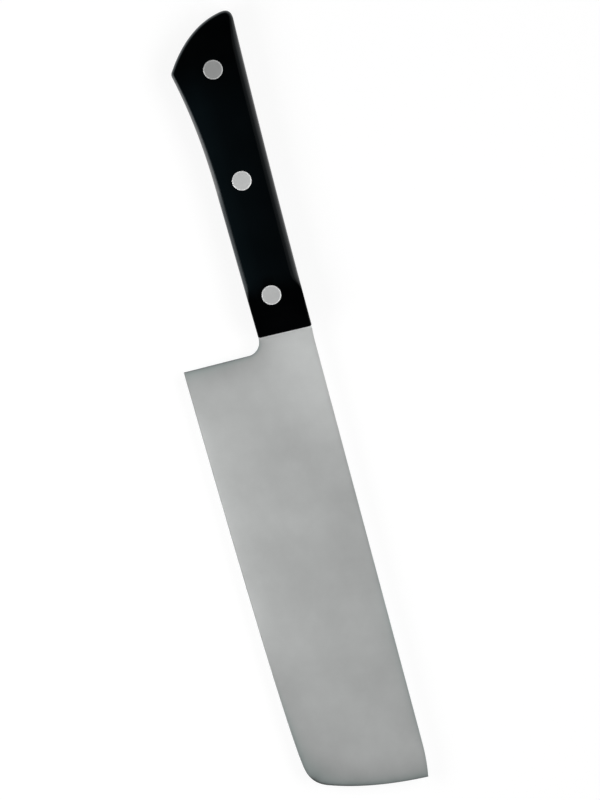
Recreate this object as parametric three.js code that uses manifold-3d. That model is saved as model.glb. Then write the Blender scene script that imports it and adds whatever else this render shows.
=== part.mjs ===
// Kitchen knife for vegetables: a tall straight-spined blade with a full tang, two moulded handle
// scales and three two-part rivets. Millimetres. While it is modelled, the origin is where the spine
// meets the front of the handle: +X runs to the tip, +Y from the cutting edge to the spine, and +Z out
// of the blade's right side. The finished knife lies on its left scale, centred over the origin.

import * as THREE from 'three';
import { mergeVertices } from 'three/addons/utils/BufferGeometryUtils.js';
import Module from 'manifold-3d';

const wasm = await Module();
wasm.setup();

// Blade outline. A setback is measured back from the tip, a rise up from the heel's corner.
const BLADE_LENGTH = 170;
const HEEL_HEIGHT = 49.3;
const HEEL_SETBACK_FROM_HANDLE = 4.7;
const HEEL_LEAN = 0.3;
const CHOIL_RADIUS = 5;
const BELLY_SETBACK = 32.4;
const BELLY_RISE = 2.3;
const TOE_SETBACK = 8.6;
const TOE_RISE = 6.1;
const TOE_ROUND = 6.2;
const END_BULGE_SETBACK = 0.9;
const TIP_DROP = 1.1;
const TIP_DROP_LENGTH = 12;

// Blade section. The sides taper from the spine and roll over to the edge in a convex grind.
const SPINE_THICKNESS = 2;
const SHOULDER_THICKNESS = 0.8;
const EDGE_THICKNESS = 0.1;
const TIP_THICKNESS = 0.5;
const ROLL_WIDTH = 9;
const GRIND_RUN_OUT = 14;

// Handle outline. The tang and both scales share it. Depths are measured down from the spine.
const HANDLE_LENGTH = 120;
const HANDLE_STEP = 0.35;
const SPINE_BLEND = 5;
const FRONT_DEPTH = 19.7;
const FRONT_RAKE = 0.6;
const TOP_BEND_DISTANCE = 57;
const TOP_BEND_HEIGHT = 0.2;
const CROWN_HEIGHT = 1.7;
const CROWN_ROUND = 4.5;
const BUTT_BULGE_SETBACK = 3.1;
const BUTT_BULGE_DEPTH = 15.6;
const BEAK_SETBACK = 18.4;
const BEAK_DEPTH = 25.8;
const BEAK_ROUND = 1;
const FLARE_REACH = 21.7;
const FLARE_DEPTH = 21;
const WAIST_REACH = 46.7;
const WAIST_DEPTH = 20.7;

// Handle scales: thickness, and the width of the round-over along each stretch of the outer edge.
const SCALE_THICKNESS = 6.5;
const SPINE_ROUND = 2.75;
const BELLY_ROUND = 1.6;
const BUTT_ROUND = 1;
const RAMP_LENGTH = 9;
const RAMP_DROP = 2.6;

// Rivets: each is a tube with a head, and a pin with a head that is driven into the tube.
const RIVET_HEAD_DIAMETER = 7.4;
const RIVET_HEAD_DEPTH = 2.5;
const RIVET_HEAD_RECESS = 0.05;
const RIVET_TUBE_DIAMETER = 4.8;
const RIVET_PIN_DIAMETER = 3;
const RIVET_CLEARANCE = 0.1;
const RIVET_END_GAP = 0.4;
const FRONT_RIVET_DISTANCE = 14.6;
const FRONT_RIVET_DEPTH = 11.05;
const REAR_RIVET_SETBACK = 20.5;
const REAR_RIVET_DEPTH = 10.4;
const MIDDLE_RIVET_OFFSET = 0.6;

// How finely round stretches are drawn.
const CURVE_STEPS = 8;
const ROUND_STEPS = 5;
const CIRCLE_STEPS = 32;
const BLADE_COLUMNS = 30;
const NECK_ROWS = 4;
const CHOIL_ROWS = 5;
const HEEL_ROWS = 9;
const RIM_SAMPLES = 240;
const CUT_OVERRUN = 2;

const half = SPINE_THICKNESS / 2;
const outerFace = half + SCALE_THICKNESS;
const point = (x, y) => new THREE.Vector2(x, y);

// The point that lies a given distance from one point towards another.
function towards(from, to, distance) {
  return to.clone().sub(from).setLength(distance).add(from);
}

// Blade outline, as the corners that its smooth line is drawn inside.
const neckX = HEEL_SETBACK_FROM_HANDLE - CHOIL_RADIUS;
const choilTop = point(neckX, -FRONT_DEPTH);
const choilEnd = point(HEEL_SETBACK_FROM_HANDLE, -FRONT_DEPTH - CHOIL_RADIUS);
const heel = point(HEEL_SETBACK_FROM_HANDLE - HEEL_LEAN, -HEEL_HEIGHT);
const belly = point(BLADE_LENGTH - BELLY_SETBACK, BELLY_RISE - HEEL_HEIGHT);
const toe = point(BLADE_LENGTH - TOE_SETBACK, TOE_RISE - HEEL_HEIGHT);
const tip = point(BLADE_LENGTH, -TIP_DROP);
const endBulge = point(BLADE_LENGTH - END_BULGE_SETBACK, (toe.y + tip.y) / 2);
const toeStart = towards(toe, belly, TOE_ROUND);
const toeEnd = towards(toe, endBulge, TOE_ROUND);
const toeMiddle = new THREE.QuadraticBezierCurve(toeStart, toe, toeEnd).getPoint(0.5);

// Cutting edge from the heel to the middle of the toe.
function edgePath() {
  const path = new THREE.Path();
  const halfway = toeStart.clone().lerp(toe, 0.5);
  path.moveTo(heel.x, heel.y);
  path.quadraticCurveTo(belly.x, belly.y, toeStart.x, toeStart.y);
  path.quadraticCurveTo(halfway.x, halfway.y, toeMiddle.x, toeMiddle.y);
  return path;
}

// The blade's end from the tip down to the middle of the toe.
function endPath() {
  const path = new THREE.Path();
  const halfway = toeEnd.clone().lerp(toe, 0.5);
  path.moveTo(tip.x, tip.y);
  path.quadraticCurveTo(endBulge.x, endBulge.y, toeEnd.x, toeEnd.y);
  path.quadraticCurveTo(halfway.x, halfway.y, toeMiddle.x, toeMiddle.y);
  return path;
}

// Spine from the handle to the tip: a short blend down from the handle, straight, then a slight fall.
function spinePath() {
  const path = new THREE.Path();
  path.moveTo(neckX, HANDLE_STEP);
  path.quadraticCurveTo(SPINE_BLEND / 2, 0, SPINE_BLEND, 0);
  path.lineTo(BLADE_LENGTH - TIP_DROP_LENGTH, 0);
  path.quadraticCurveTo(BLADE_LENGTH - TIP_DROP_LENGTH / 2, 0, tip.x, tip.y);
  return path;
}

// Back of the blade, from the spine down the neck, round the choil and down to the heel's corner.
function backPoints() {
  const neck = new THREE.LineCurve(point(neckX, HANDLE_STEP), choilTop);
  const choil = new THREE.EllipseCurve(
    choilTop.x,
    choilEnd.y,
    CHOIL_RADIUS,
    CHOIL_RADIUS,
    Math.PI / 2,
    0,
    true,
  );
  const back = new THREE.LineCurve(choilEnd, heel);
  const points = neck.getPoints(NECK_ROWS);
  points.push(...choil.getPoints(CHOIL_ROWS).slice(1));
  for (let row = 1; row <= HEEL_ROWS; row += 1) {
    points.push(back.getPoint(Math.sin((row / HEEL_ROWS) * (Math.PI / 2))));
  }
  return points;
}

// Running length along a chain of points, from 0 at the first to 1 at the last.
function chainFractions(points) {
  const lengths = [0];
  for (let i = 1; i < points.length; i += 1) {
    lengths.push(lengths[i - 1] + points[i].distanceTo(points[i - 1]));
  }
  return lengths.map((length) => length / lengths[lengths.length - 1]);
}

// Half the blade's thickness at a place on its side, given points along the edge and the end.
function halfThickness(place, rim) {
  const depth = Math.max(-place.y, 0);
  const taper = Math.min(depth / HEEL_HEIGHT, 1);
  const side = THREE.MathUtils.lerp(SPINE_THICKNESS, SHOULDER_THICKNESS, taper) / 2;
  const lip = THREE.MathUtils.lerp(TIP_THICKNESS, EDGE_THICKNESS, Math.min(depth / -toeMiddle.y, 1)) / 2;
  const distance = Math.min(...rim.map((spot) => spot.distanceTo(place)));
  const inset = Math.max(1 - distance / ROLL_WIDTH, 0);
  const ground = side - (side - lip) * inset * inset;
  const ahead = place.x - Math.max(neckX, 0);
  const below = Math.max(-FRONT_DEPTH - place.y, 0);
  const runOut = THREE.MathUtils.smoothstep(Math.hypot(Math.max(ahead, 0), below), 0, GRIND_RUN_OUT);
  return THREE.MathUtils.lerp(half, ground, runOut);
}

// Ground blade as a net of points between its four sides, mirrored through the blade's middle plane.
function groundBlade() {
  const edge = edgePath();
  const end = endPath();
  const spine = spinePath();
  const back = backPoints();
  const rows = chainFractions(back);
  const rim = [...edge.getSpacedPoints(RIM_SAMPLES), ...end.getSpacedPoints(RIM_SAMPLES)];
  const corner = { spineBack: back[0], edgeBack: heel, spineEnd: tip, edgeEnd: toeMiddle };
  const rowCount = rows.length;
  const columnCount = BLADE_COLUMNS + 1;
  const upper = [];
  const lower = [];
  rows.forEach((v, row) => {
    const endPoint = end.getPointAt(v);
    for (let column = 0; column < columnCount; column += 1) {
      const u = (1 - Math.cos((column / BLADE_COLUMNS) * Math.PI)) / 2;
      const place = spine.getPointAt(u).multiplyScalar(1 - v)
        .addScaledVector(edge.getPointAt(u), v)
        .addScaledVector(back[row], 1 - u)
        .addScaledVector(endPoint, u)
        .addScaledVector(corner.spineBack, -(1 - u) * (1 - v))
        .addScaledVector(corner.edgeBack, -(1 - u) * v)
        .addScaledVector(corner.spineEnd, -u * (1 - v))
        .addScaledVector(corner.edgeEnd, -u * v);
      const z = halfThickness(place, rim);
      upper.push(place.x, place.y, z);
      lower.push(place.x, place.y, -z);
    }
  });
  const at = (row, column) => row * columnCount + column;
  const below = rowCount * columnCount;
  const faces = [];
  for (let row = 0; row < rowCount - 1; row += 1) {
    for (let column = 0; column < columnCount - 1; column += 1) {
      const a = at(row, column);
      const b = at(row + 1, column);
      const c = at(row + 1, column + 1);
      const d = at(row, column + 1);
      faces.push(a, b, c, a, c, d);
      faces.push(below + a, below + c, below + b, below + a, below + d, below + c);
    }
  }
  const border = [];
  for (let row = 0; row < rowCount - 1; row += 1) {
    border.push(at(row, 0));
  }
  for (let column = 0; column < columnCount - 1; column += 1) {
    border.push(at(rowCount - 1, column));
  }
  for (let row = rowCount - 1; row > 0; row -= 1) {
    border.push(at(row, columnCount - 1));
  }
  for (let column = columnCount - 1; column > 0; column -= 1) {
    border.push(at(0, column));
  }
  border.forEach((p, i) => {
    const q = border[(i + 1) % border.length];
    faces.push(below + p, below + q, q, below + p, q, p);
  });
  return closedGeometry([...upper, ...lower], faces);
}

function closedGeometry(positions, faces) {
  const geometry = new THREE.BufferGeometry();
  geometry.setAttribute('position', new THREE.Float32BufferAttribute(positions, 3));
  geometry.setIndex(faces);
  return geometry;
}

// Handle outline from the front's upper corner, along the top, round the butt and back along the belly.
// Each stretch also gives the width of the scale's round-over at its two ends.
function handleStretches(frontTop, frontBottom) {
  const topBend = point(-TOP_BEND_DISTANCE, TOP_BEND_HEIGHT);
  const crown = point(-HANDLE_LENGTH, CROWN_HEIGHT);
  const bulge = point(BUTT_BULGE_SETBACK - HANDLE_LENGTH, -BUTT_BULGE_DEPTH);
  const beak = point(BEAK_SETBACK - HANDLE_LENGTH, -BEAK_DEPTH);
  const flare = point(beak.x + FLARE_REACH, -FLARE_DEPTH);
  const waist = point(beak.x + WAIST_REACH, -WAIST_DEPTH);
  const crownStart = towards(crown, topBend, CROWN_ROUND);
  const crownEnd = towards(crown, bulge, CROWN_ROUND);
  const beakStart = towards(beak, bulge, BEAK_ROUND);
  const beakEnd = towards(beak, flare, BEAK_ROUND);
  const bend = (a, b, c) => new THREE.QuadraticBezierCurve(a, b, c);
  return [
    { curve: bend(frontTop, topBend, crownStart), rounds: [SPINE_ROUND, SPINE_ROUND] },
    { curve: bend(crownStart, crown, crownEnd), rounds: [SPINE_ROUND, BUTT_ROUND] },
    { curve: bend(crownEnd, bulge, beakStart), rounds: [BUTT_ROUND, BUTT_ROUND] },
    { curve: bend(beakStart, beak, beakEnd), rounds: [BUTT_ROUND, BUTT_ROUND] },
    { curve: bend(beakEnd, flare, waist), rounds: [BUTT_ROUND, BELLY_ROUND] },
    { curve: new THREE.LineCurve(waist, frontBottom), rounds: [BELLY_ROUND, BELLY_ROUND] },
  ];
}

// Points round the handle's outline, each with the width of its round-over.
function handleOutline(frontTop, frontBottom) {
  const outline = [];
  handleStretches(frontTop, frontBottom).forEach(({ curve, rounds }) => {
    const steps = curve.isLineCurve ? 1 : CURVE_STEPS;
    for (let step = outline.length ? 1 : 0; step <= steps; step += 1) {
      const share = step / steps;
      const round = THREE.MathUtils.lerp(rounds[0], rounds[1], share);
      outline.push({ place: curve.getPoint(share), round });
    }
  });
  return outline;
}

// Direction that points into the handle at each outline point. The front's two corners move along it.
function inwardDirections(outline) {
  const last = outline.length - 1;
  return outline.map(({ place }, i) => {
    if (i === 0) {
      return outline[last].place.clone().sub(place).normalize();
    }
    if (i === last) {
      return outline[0].place.clone().sub(place).normalize();
    }
    const along = outline[i + 1].place.clone().sub(outline[i - 1].place).normalize();
    return point(-along.y, along.x);
  });
}

// Solid between level rings of points, listed from the lowest ring to the highest.
function ringSolid(rings) {
  const count = rings[0].length;
  const positions = rings.flat().flatMap((spot) => [spot.x, spot.y, spot.z]);
  const faces = [];
  for (let ring = 0; ring < rings.length - 1; ring += 1) {
    for (let i = 0; i < count; i += 1) {
      const p = ring * count + i;
      const q = ring * count + ((i + 1) % count);
      faces.push(p, q, q + count, p, q + count, p + count);
    }
  }
  const flat = (ring) => ring.map((spot) => point(spot.x, spot.y));
  const topStart = (rings.length - 1) * count;
  THREE.ShapeUtils.triangulateShape(flat(rings[0]), []).forEach(([a, b, c]) => faces.push(c, b, a));
  THREE.ShapeUtils.triangulateShape(flat(rings[rings.length - 1]), []).forEach((face) => {
    faces.push(...face.map((corner) => topStart + corner));
  });
  return closedGeometry(positions, faces);
}

// Boolean work: a closed mesh becomes a solid, and a solid becomes a mesh again.
function toSolid(geometry) {
  const bare = new THREE.BufferGeometry();
  bare.setAttribute('position', geometry.getAttribute('position'));
  bare.setIndex(geometry.getIndex());
  const merged = mergeVertices(bare);
  return new wasm.Manifold(new wasm.Mesh({
    numProp: 3,
    vertProperties: Float32Array.from(merged.getAttribute('position').array),
    triVerts: Uint32Array.from(merged.getIndex().array),
  }));
}

function toGeometry(solid) {
  const mesh = solid.getMesh();
  return closedGeometry(mesh.vertProperties, Array.from(mesh.triVerts));
}

// A round cutter along Z between two levels.
function roundCutter(place, radius, low, high) {
  const geometry = new THREE.CylinderGeometry(radius, radius, high - low, CIRCLE_STEPS);
  geometry.rotateX(Math.PI / 2);
  geometry.translate(place.x, place.y, (low + high) / 2);
  return toSolid(geometry);
}

// Rivet places: the outer two are set from the handle's ends, the middle one from those two.
const frontRivet = point(-FRONT_RIVET_DISTANCE, -FRONT_RIVET_DEPTH);
const rearRivet = point(REAR_RIVET_SETBACK - HANDLE_LENGTH, -REAR_RIVET_DEPTH);
const middleRivet = frontRivet.clone().lerp(rearRivet, 0.5).sub(point(MIDDLE_RIVET_OFFSET, 0));
const rivets = { front: frontRivet, middle: middleRivet, rear: rearRivet };

const headRadius = RIVET_HEAD_DIAMETER / 2;
const tubeRadius = RIVET_TUBE_DIAMETER / 2;
const pinRadius = RIVET_PIN_DIAMETER / 2;
const headFace = outerFace - RIVET_HEAD_RECESS;
const headSeat = headFace - RIVET_HEAD_DEPTH;
const holeRadius = tubeRadius + RIVET_CLEARANCE;

// Blade and tang in one blank, with a hole for each rivet.
function bladeGeometry() {
  const outline = handleOutline(point(neckX, HANDLE_STEP), choilTop);
  const shape = new THREE.Shape(outline.map(({ place }) => place));
  Object.values(rivets).forEach((place) => {
    const hole = new THREE.Path();
    hole.absarc(place.x, place.y, holeRadius, 0, Math.PI * 2, true);
    shape.holes.push(hole);
  });
  const tang = new THREE.ExtrudeGeometry(shape, {
    depth: SPINE_THICKNESS,
    bevelEnabled: false,
    curveSegments: CIRCLE_STEPS / 2,
  });
  tang.translate(0, 0, -half);
  return toGeometry(toSolid(groundBlade()).add(toSolid(tang)));
}

// Sloped cut at the front of a scale, on the side of +Z or -Z.
function rampCutter(side) {
  const slope = RAMP_DROP / RAMP_LENGTH;
  const low = outerFace - RAMP_DROP - slope * CUT_OVERRUN;
  const high = outerFace + CUT_OVERRUN;
  const shape = new THREE.Shape([
    point(-RAMP_LENGTH, side * outerFace),
    point(CUT_OVERRUN, side * low),
    point(CUT_OVERRUN, side * high),
    point(-RAMP_LENGTH, side * high),
  ]);
  const width = BEAK_DEPTH + CROWN_HEIGHT + 2 * CUT_OVERRUN;
  const geometry = new THREE.ExtrudeGeometry(shape, { depth: width, bevelEnabled: false });
  geometry.rotateX(Math.PI / 2);
  geometry.translate(0, CROWN_HEIGHT + CUT_OVERRUN, 0);
  return toSolid(geometry);
}

// One handle scale on the side of +Z or -Z: flat against the tang, rounded along its outer edges.
function scaleGeometry(side) {
  const outline = handleOutline(point(0, HANDLE_STEP), point(-FRONT_RAKE, -FRONT_DEPTH));
  const inward = inwardDirections(outline);
  const rings = [outline.map(({ place }) => new THREE.Vector3(place.x, place.y, side * half))];
  for (let step = 0; step <= ROUND_STEPS; step += 1) {
    const angle = (step / ROUND_STEPS) * (Math.PI / 2);
    rings.push(outline.map(({ place, round }, i) => {
      const spot = place.clone().addScaledVector(inward[i], round * (1 - Math.cos(angle)));
      return new THREE.Vector3(spot.x, spot.y, side * (outerFace - round * (1 - Math.sin(angle))));
    }));
  }
  let solid = toSolid(ringSolid(side > 0 ? rings : rings.reverse())).subtract(rampCutter(side));
  Object.values(rivets).forEach((place) => {
    const levels = [side * headSeat, side * (outerFace + CUT_OVERRUN)].sort((a, b) => a - b);
    solid = solid.subtract(roundCutter(place, headRadius + RIVET_CLEARANCE, ...levels));
    solid = solid.subtract(roundCutter(place, holeRadius, -outerFace, outerFace));
  });
  return toGeometry(solid);
}

// A body turned about Z from a profile of radius and height pairs, from its lowest point on the axis up.
function turned(profile) {
  const geometry = new THREE.LatheGeometry(profile.map(([r, z]) => point(r, z)), CIRCLE_STEPS);
  geometry.rotateX(Math.PI / 2);
  return geometry;
}

// Half of a rivet with a blind tube. Its head sits in the left scale.
function rivetTube() {
  const bore = pinRadius + RIVET_CLEARANCE;
  return turned([
    [0, -headFace],
    [headRadius, -headFace],
    [headRadius, -headSeat],
    [tubeRadius, -headSeat],
    [tubeRadius, headSeat - RIVET_END_GAP],
    [bore, headSeat - RIVET_END_GAP],
    [bore, -headSeat],
    [0, -headSeat],
  ]);
}

// Half of a rivet with a pin. Its head sits in the right scale.
function rivetPin() {
  return turned([
    [0, RIVET_END_GAP - headSeat],
    [pinRadius, RIVET_END_GAP - headSeat],
    [pinRadius, headSeat],
    [headRadius, headSeat],
    [headRadius, headFace],
    [0, headFace],
  ]);
}

const bladeSteel = new THREE.MeshStandardMaterial({ color: 0xa5a7a6, roughness: 0.42, metalness: 1 });
const scalePlastic = new THREE.MeshStandardMaterial({ color: 0x0b0d0f, roughness: 0.38, metalness: 0 });
const rivetSteel = new THREE.MeshStandardMaterial({ color: 0xb8bab9, roughness: 0.35, metalness: 1 });

function piece(name, geometry, material) {
  const mesh = new THREE.Mesh(geometry, material.clone());
  mesh.name = name;
  return mesh;
}

const knife = new THREE.Group();
knife.add(piece('blade', bladeGeometry(), bladeSteel));
knife.add(piece('right_scale', scaleGeometry(1), scalePlastic));
knife.add(piece('left_scale', scaleGeometry(-1), scalePlastic));
Object.entries(rivets).forEach(([name, place]) => {
  const tube = piece(`${name}_rivet_tube`, rivetTube(), rivetSteel);
  const pin = piece(`${name}_rivet_pin`, rivetPin(), rivetSteel);
  tube.position.set(place.x, place.y, 0);
  pin.position.set(place.x, place.y, 0);
  knife.add(tube, pin);
});

// The finished knife lies on its left scale, with the middle of its outline over the origin.
const box = new THREE.Box3().setFromObject(knife);
const centre = box.getCenter(new THREE.Vector3());
knife.position.set(-centre.x, -centre.y, -box.min.z);

export default knife;
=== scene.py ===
"""Kitchen knife for vegetables: a tall satin blade with a full tang, two black scales and three rivets.

Sizes in the classes are millimetres. Drawing coordinates start where the spine meets the front of the
handle: x runs to the tip, y from the cutting edge to the spine, z out of the blade's right side.
"""

import logging
import math
from dataclasses import dataclass, field
from enum import Enum
from typing import Any, Optional, Sequence, Union

import bmesh
import bpy
import numpy as np
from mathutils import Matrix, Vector
from mathutils.geometry import delaunay_2d_cdt

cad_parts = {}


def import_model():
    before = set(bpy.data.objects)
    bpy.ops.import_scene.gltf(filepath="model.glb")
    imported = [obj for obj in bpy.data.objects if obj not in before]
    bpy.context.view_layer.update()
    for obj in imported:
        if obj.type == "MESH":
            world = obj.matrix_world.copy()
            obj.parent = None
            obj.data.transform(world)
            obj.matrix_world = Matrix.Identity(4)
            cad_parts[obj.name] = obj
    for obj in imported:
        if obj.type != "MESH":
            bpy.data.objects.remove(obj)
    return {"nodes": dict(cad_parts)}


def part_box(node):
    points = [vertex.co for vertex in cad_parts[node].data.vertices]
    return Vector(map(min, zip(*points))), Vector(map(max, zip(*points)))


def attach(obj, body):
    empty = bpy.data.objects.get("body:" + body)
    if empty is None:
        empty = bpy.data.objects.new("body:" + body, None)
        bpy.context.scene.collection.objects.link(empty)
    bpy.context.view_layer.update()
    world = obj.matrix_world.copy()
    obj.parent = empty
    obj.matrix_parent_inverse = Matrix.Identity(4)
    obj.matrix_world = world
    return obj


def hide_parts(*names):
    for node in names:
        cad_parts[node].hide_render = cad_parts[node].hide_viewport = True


LOG = logging.getLogger("kitchen_knife")
MM = 0.001
PER_METRE = 1000.0
AXES = 3
QUARTER_TURN = math.pi / 2.0
BODY = "root"
SMOOTH_LIMIT = math.radians(30.0)
# Name of the mark stored on each point: painted light and shade on the blade and rivets, sanding with
# painted sheen on the scales
PAINTED_LIGHT_AND_WEAR = "painted_light_and_wear"
NOISE_MEAN = 0.5
EVEN_SHARE = 0.5
OPAQUE = 1.0

# Sockets of a Mix node for its two colours and for the mixed one
MIX_FIRST = 6
MIX_SECOND = 7
MIX_RESULT = 2

# How closely points of the drawing are told apart, in millimetres
KEY_DIGITS = 4
LEAST_SQUARE = 1e-12
MERGE_DISTANCE = 1e-7
WHOLE_HULL = 0
HALVES = 2

Colour = tuple[float, float, float]
Tone = Union[Colour, bpy.types.NodeSocket]
Number = Union["Signal", float]


# Shader graph


class Operation(Enum):
    """Operations of a Math node that the finishes use."""

    ADD = "ADD"
    SUBTRACT = "SUBTRACT"
    MULTIPLY = "MULTIPLY"
    MAXIMUM = "MAXIMUM"


class Signal:
    """A number that changes over a surface. Python's operators on it add Math nodes."""

    def __init__(self, graph: "Graph", socket: bpy.types.NodeSocket) -> None:
        """Keeps the graph and the socket that gives the number."""
        self.graph = graph
        self.socket = socket

    def _join(self, operation: Operation, first: Number, second: Number) -> "Signal":
        """Adds one Math node and gives its result."""
        made = self.graph.node("ShaderNodeMath", {"operation": operation.value}, {0: first, 1: second})
        return Signal(self.graph, made.outputs[0])

    def __add__(self, other: Number) -> "Signal":
        """Gives self + other."""
        return self._join(Operation.ADD, self, other)

    def __radd__(self, other: Number) -> "Signal":
        """Gives other + self."""
        return self._join(Operation.ADD, other, self)

    def __sub__(self, other: Number) -> "Signal":
        """Gives self - other."""
        return self._join(Operation.SUBTRACT, self, other)

    def __rsub__(self, other: Number) -> "Signal":
        """Gives other - self."""
        return self._join(Operation.SUBTRACT, other, self)

    def __mul__(self, other: Number) -> "Signal":
        """Gives self * other."""
        return self._join(Operation.MULTIPLY, self, other)

    def __rmul__(self, other: Number) -> "Signal":
        """Gives other * self."""
        return self._join(Operation.MULTIPLY, other, self)

    def __neg__(self) -> "Signal":
        """Gives self times -1."""
        return self._join(Operation.MULTIPLY, self, -1.0)

    def __or__(self, other: Number) -> "Signal":
        """Gives the larger of self and other."""
        return self._join(Operation.MAXIMUM, self, other)

    def eased(self, low: float, high: float) -> "Signal":
        """Maps low to 0 and high to 1 with a soft step between them.

        Args:
            low: Value that becomes 0.
            high: Value that becomes 1.

        Returns:
            The eased number.
        """
        settings = {"interpolation_type": "SMOOTHSTEP"}
        sockets = {"Value": self, "From Min": low, "From Max": high}
        made = self.graph.node("ShaderNodeMapRange", settings, sockets)
        return Signal(self.graph, made.outputs["Result"])


class Graph:
    """The node tree of a finish or of the world."""

    def __init__(self, tree: bpy.types.NodeTree) -> None:
        """Takes an empty tree to fill."""
        tree.nodes.clear()
        self.tree = tree

    @classmethod
    def of_material(cls, name: str) -> tuple["Graph", bpy.types.Material]:
        """Makes a material with an empty tree.

        Args:
            name: The material's name.

        Returns:
            The tree's graph and the material.
        """
        material = bpy.data.materials.new(name)
        material.use_nodes = True
        return cls(material.node_tree), material

    def node(
        self,
        kind: str,
        settings: Optional[dict[str, Any]] = None,
        sockets: Optional[dict[Any, Any]] = None,
    ) -> bpy.types.Node:
        """Adds a node.

        Args:
            kind: Blender's name of the node type.
            settings: Properties of the node, which are set first.
            sockets: Values or links of its inputs, by name or number.

        Returns:
            The node.
        """
        made = self.tree.nodes.new(kind)
        for name, value in (settings or {}).items():
            setattr(made, name, value)
        for key, value in (sockets or {}).items():
            source = value.socket if isinstance(value, Signal) else value
            if isinstance(source, bpy.types.NodeSocket):
                self.tree.links.new(source, made.inputs[key])
            else:
                made.inputs[key].default_value = source
        return made

    def signal(self, made: bpy.types.Node, output: Union[str, int]) -> Signal:
        """Wraps an output that gives a number."""
        return Signal(self, made.outputs[output])

    def noise(self, frequency: Sequence[float], detail: float = 2.0, gain: float = 0.5) -> Signal:
        """Adds noise over the piece's own coordinates.

        Args:
            frequency: Waves to a metre along x, y and z.
            detail: Number of finer layers.
            gain: Strength of each finer layer against the one before.

        Returns:
            The noise, around one half.
        """
        place = self.node("ShaderNodeTexCoord").outputs["Object"]
        stretched = self.node("ShaderNodeVectorMath", {"operation": "MULTIPLY"}, {0: place, 1: frequency})
        sockets = {"Vector": stretched.outputs[0], "Scale": 1.0, "Detail": detail, "Roughness": gain}
        return self.signal(self.node("ShaderNodeTexNoise", None, sockets), "Fac")

    def clouds(self, size: float, detail: float = 2.0, gain: float = 0.5) -> Signal:
        """Adds noise whose patches have one size, in millimetres, along x, y and z."""
        return self.noise((PER_METRE / size,) * AXES, detail, gain)

    def attribute(self, name: str) -> Signal:
        """Reads a number that is stored on the mesh."""
        return self.signal(self.node("ShaderNodeAttribute", {"attribute_name": name}), "Fac")

    def tint(self, first: Tone, second: Tone, share: Number) -> bpy.types.NodeSocket:
        """Mixes two colours.

        Args:
            first: Colour where the share is 0.
            second: Colour where the share is 1.
            share: How much of the second.

        Returns:
            The mixed colour.
        """
        ends = [
            tone if isinstance(tone, bpy.types.NodeSocket) else (*tone, OPAQUE) for tone in (first, second)
        ]
        sockets = {"Factor": share, MIX_FIRST: ends[0], MIX_SECOND: ends[1]}
        return self.node("ShaderNodeMix", {"data_type": "RGBA"}, sockets).outputs[MIX_RESULT]

    def relief(self, height: Number, depth: float) -> bpy.types.NodeSocket:
        """Adds a bump and gives its normal. A height of 1 stands for the depth in millimetres."""
        sockets = {"Strength": 1.0, "Distance": depth * MM, "Height": height}
        return self.node("ShaderNodeBump", None, sockets).outputs["Normal"]

    def blend(self, first: bpy.types.Node, second: bpy.types.Node, share: Number) -> bpy.types.Node:
        """Mixes two shaders, with a share of the second."""
        sockets = {"Fac": share, 1: first.outputs[0], 2: second.outputs[0]}
        return self.node("ShaderNodeMixShader", None, sockets)

    def surface(self, shader: bpy.types.Node) -> None:
        """Sends a shader to the material's output."""
        self.node("ShaderNodeOutputMaterial", None, {"Surface": shader.outputs[0]})


# Finishes


class Grain(Enum):
    """Axis along which polishing lines run."""

    LENGTHWISE = 0
    CROSSWISE = 1

    def frequency(self, pitch: float, length: float) -> tuple[float, ...]:
        """Gives waves to a metre on each axis, from the lines' pitch and length in millimetres."""
        return tuple(PER_METRE / (length if axis == self.value else pitch) for axis in range(AXES))


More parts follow.
